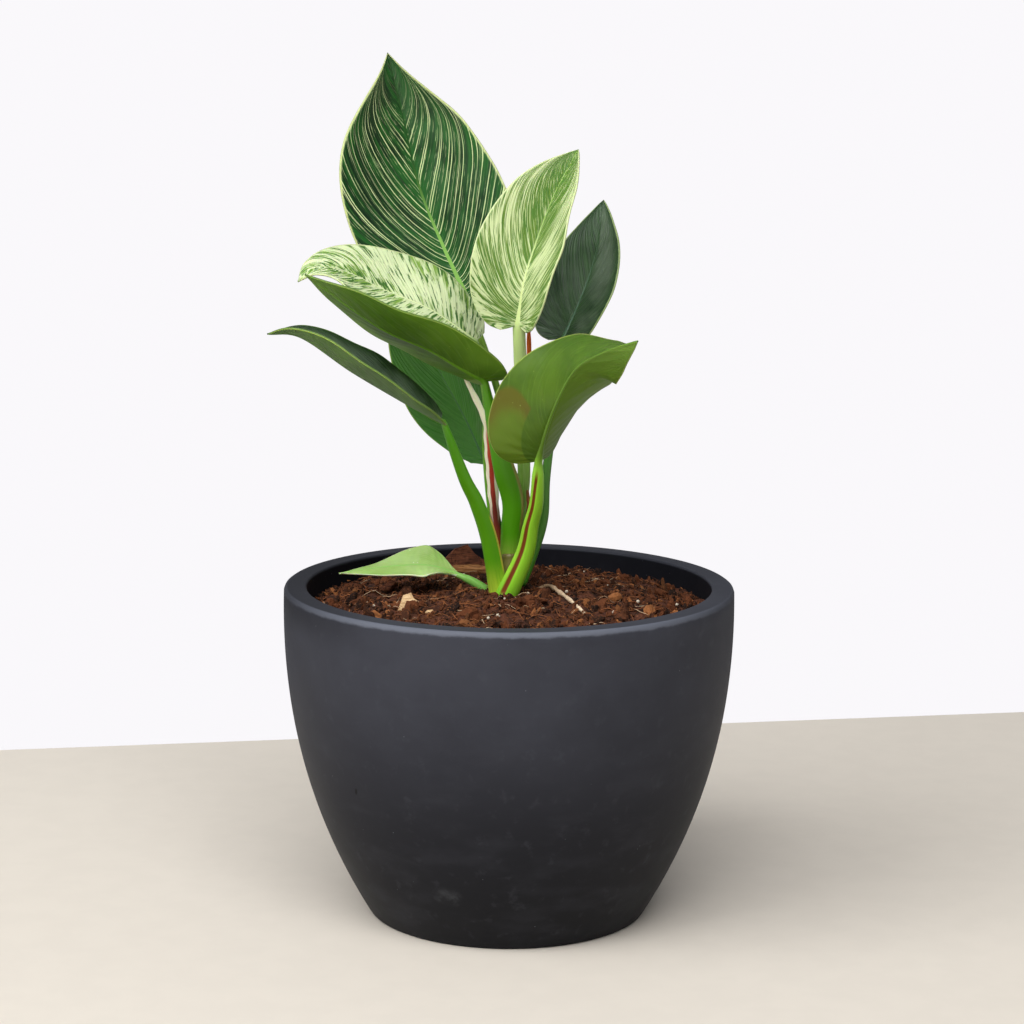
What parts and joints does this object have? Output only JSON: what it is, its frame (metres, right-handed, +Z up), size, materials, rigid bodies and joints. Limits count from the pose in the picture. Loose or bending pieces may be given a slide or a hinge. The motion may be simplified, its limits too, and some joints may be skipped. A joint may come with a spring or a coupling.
{
  "type": "potted foliage plant",
  "caption": "Leafy houseplant with heart-shaped striped leaves on upright petioles, rooted in soil in a tapered round pot that stands on a flat foot.",
  "frame": {"origin": "centre of the underside of the pot, on the face that rests on a table", "axes": "+Z up through the pot and the crown of the plant, -Y towards the front from which the striped leaves are seen, +X to the right"},
  "size_m": [0.183, 0.18, 0.3431],
  "materials": {
    "pot": "matte charcoal glaze, worn lighter along the rim",
    "soil": "rough moist coir",
    "bark": "rough bark",
    "pale_wood": "rough pale wood",
    "dark_blade": "dark green leaf with cream pinstripes, waxy",
    "cream_blade": "cream and green marbled leaf, waxy",
    "under_blade": "mid-green leaf seen from below, waxy",
    "pale_blade": "pale green low leaf",
    "petiole": "glossy green stalk",
    "sheath": "dry papery red-brown sheath"
  },
  "bodies": {
    "root": {"leaf_1_blade": "dark_blade", "leaf_2_blade": "cream_blade", "leaf_3_blade": "cream_blade", "leaf_4_blade": "dark_blade", "leaf_5_blade": "under_blade", "leaf_6_blade": "under_blade", "leaf_7_blade": "dark_blade", "leaf_8_blade": "under_blade", "leaf_9_blade": "pale_blade", "leaf_1_petiole": "petiole", "leaf_2_petiole": "petiole", "leaf_3_petiole": "petiole", "leaf_4_petiole": "petiole", "leaf_5_petiole": "petiole", "leaf_6_petiole": "petiole", "leaf_7_petiole": "petiole", "leaf_8_petiole": "petiole", "leaf_9_petiole": "pale_blade", "sheath_red": "sheath", "sheath_orange": "sheath", "sheath_brown": "sheath", "stem": "petiole", "root": "pale_wood", "bark_chip": "bark", "bark_strip": "bark", "wood_chip": "pale_wood", "small_chip": "pale_wood", "dark_chip": "bark", "soil": "soil", "pot": "pot"}
  },
  "joints": []
}
